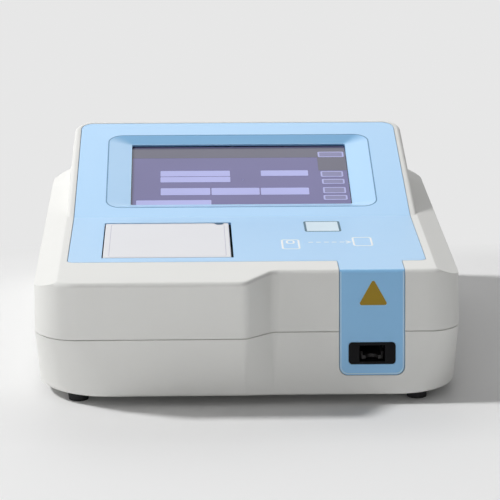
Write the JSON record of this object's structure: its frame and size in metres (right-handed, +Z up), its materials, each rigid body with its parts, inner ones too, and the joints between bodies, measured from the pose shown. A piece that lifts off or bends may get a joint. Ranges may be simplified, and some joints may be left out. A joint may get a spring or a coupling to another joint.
{
  "type": "fluorescence immunoassay analyzer",
  "caption": "Bench-top test card reader with a tilted touch screen, a flush printer door over a paper roll, a motor-drawn card tray behind a slot, and a rear plate with power and data sockets.",
  "frame": {"origin": "centre of the case's outline, on the bench under the rubber feet", "axes": "+X to the user's right, +Y from the card slot's side to the back, +Z up"},
  "size_m": [0.274, 0.333, 0.1223],
  "materials": {
    "case_white": "fine texture",
    "fascia_blue": "fine texture",
    "door_white": "fine texture",
    "black_plastic": "satin",
    "foot_rubber": "matte",
    "screen_glass": "polished",
    "module_black": "satin",
    "gasket_foam": "matte",
    "steel": "brushed",
    "sheet_steel": "zinc plated",
    "aluminium": "satin",
    "brass": "turned",
    "paper": "thermal paper",
    "card_core": "pressed board",
    "platen_rubber": "ground",
    "gear_white": "moulded",
    "ceramic": "glazed",
    "tray_black": "satin",
    "board_green": "solder mask",
    "component_black": "moulded",
    "ribbon": "satin",
    "optic_glass": "polished",
    "filter_glass": "coated",
    "lamp_clear": "polished",
    "rocker_black": "satin"
  },
  "bodies": {
    "case": {"base_shell": "case_white", "upper_shell": "case_white", "top_fascia": "fascia_blue", "rubber_feet": "foot_rubber", "case_screws": "steel", "display_gasket": "gasket_foam", "touch_glass": "screen_glass", "display_module": "module_black", "display_frame": "sheet_steel", "display_screws": "steel", "display_ribbon": "ribbon", "door_hinge_pin": "steel", "paper_bucket": "black_plastic", "bucket_screws": "steel", "idler_stud": "steel", "feed_motor": "sheet_steel", "print_frame": "sheet_steel", "thermal_head": "ceramic", "head_heat_sink": "aluminium", "head_spring": "steel", "tear_bar": "steel", "slot_bezel": "black_plastic", "reader_frame": "aluminium", "guide_rods": "steel", "reader_motor": "sheet_steel", "optic_housing": "black_plastic", "excitation_lamp": "lamp_clear", "objective_lens": "optic_glass", "emission_filter": "filter_glass", "photodiode": "component_black", "detector_board": "board_green", "home_sensor": "component_black", "main_board": "board_green", "board_components": "component_black", "buzzer": "component_black", "power_board": "board_green", "power_components": "component_black", "board_screws": "steel", "rear_plate": "sheet_steel", "plate_screws": "steel", "power_inlet": "black_plastic", "inlet_pins": "brass", "rocker_frame": "black_plastic", "usb_ports": "sheet_steel", "network_port": "sheet_steel", "port_board": "board_green"},
    "door": {"printer_door": "door_white"},
    "platen": {"platen_roller": "platen_rubber", "platen_shaft": "steel", "platen_gear": "gear_white"},
    "idler": {"idler_gear": "gear_white"},
    "motor_rotor": {"motor_pinion": "brass", "feed_motor_shaft": "steel"},
    "roll": {"paper_roll": "paper", "paper_core": "card_core"},
    "tray": {"card_tray": "tray_black", "lead_nut": "brass"},
    "screw": {"lead_screw": "steel"},
    "rocker": {"power_rocker": "rocker_black"}
  },
  "joints": [
    {"name": "door_hinge", "type": "hinge", "parent": "case", "child": "door", "pos_m": [-0.0518, -0.10034, 0.0822], "axis": [1, 0, 0], "range_deg": [0, 92]},
    {"name": "platen_spin", "type": "hinge", "parent": "door", "child": "platen", "pos_m": [-0.0518, -0.02254, 0.0783], "axis": [1, 0, 0], "continuous": true},
    {"name": "idler_spin", "type": "hinge", "parent": "case", "child": "idler", "pos_m": [-0.014, -0.02254, 0.0663], "axis": [1, 0, 0], "continuous": true},
    {"name": "motor_spin", "type": "hinge", "parent": "case", "child": "motor_rotor", "pos_m": [-0.014, -0.03293, 0.0603], "axis": [1, 0, 0], "continuous": true},
    {"name": "roll_spin", "type": "hinge", "parent": "case", "child": "roll", "pos_m": [-0.0518, -0.07854, 0.0518], "axis": [1, 0, 0], "continuous": true},
    {"name": "tray_slide", "type": "slide", "parent": "case", "child": "tray", "axis": [0, 1, 0], "range_m": [0, 0.045]},
    {"name": "screw_spin", "type": "hinge", "parent": "case", "child": "screw", "pos_m": [0.0793, 0.04408, 0.0207], "axis": [0, 1, 0], "continuous": true},
    {"name": "rocker_tilt", "type": "hinge", "parent": "case", "child": "rocker", "pos_m": [0.052, 0.1603, 0.027], "axis": [1, 0, 0], "range_deg": [0, 14]}
  ],
  "couplings": [
    {"joint": "idler_spin", "follows": "platen_spin", "ratio": -0.5},
    {"joint": "motor_spin", "follows": "platen_spin", "ratio": 1},
    {"joint": "screw_spin", "follows": "tray_slide", "rad_per_m": 785.4}
  ]
}
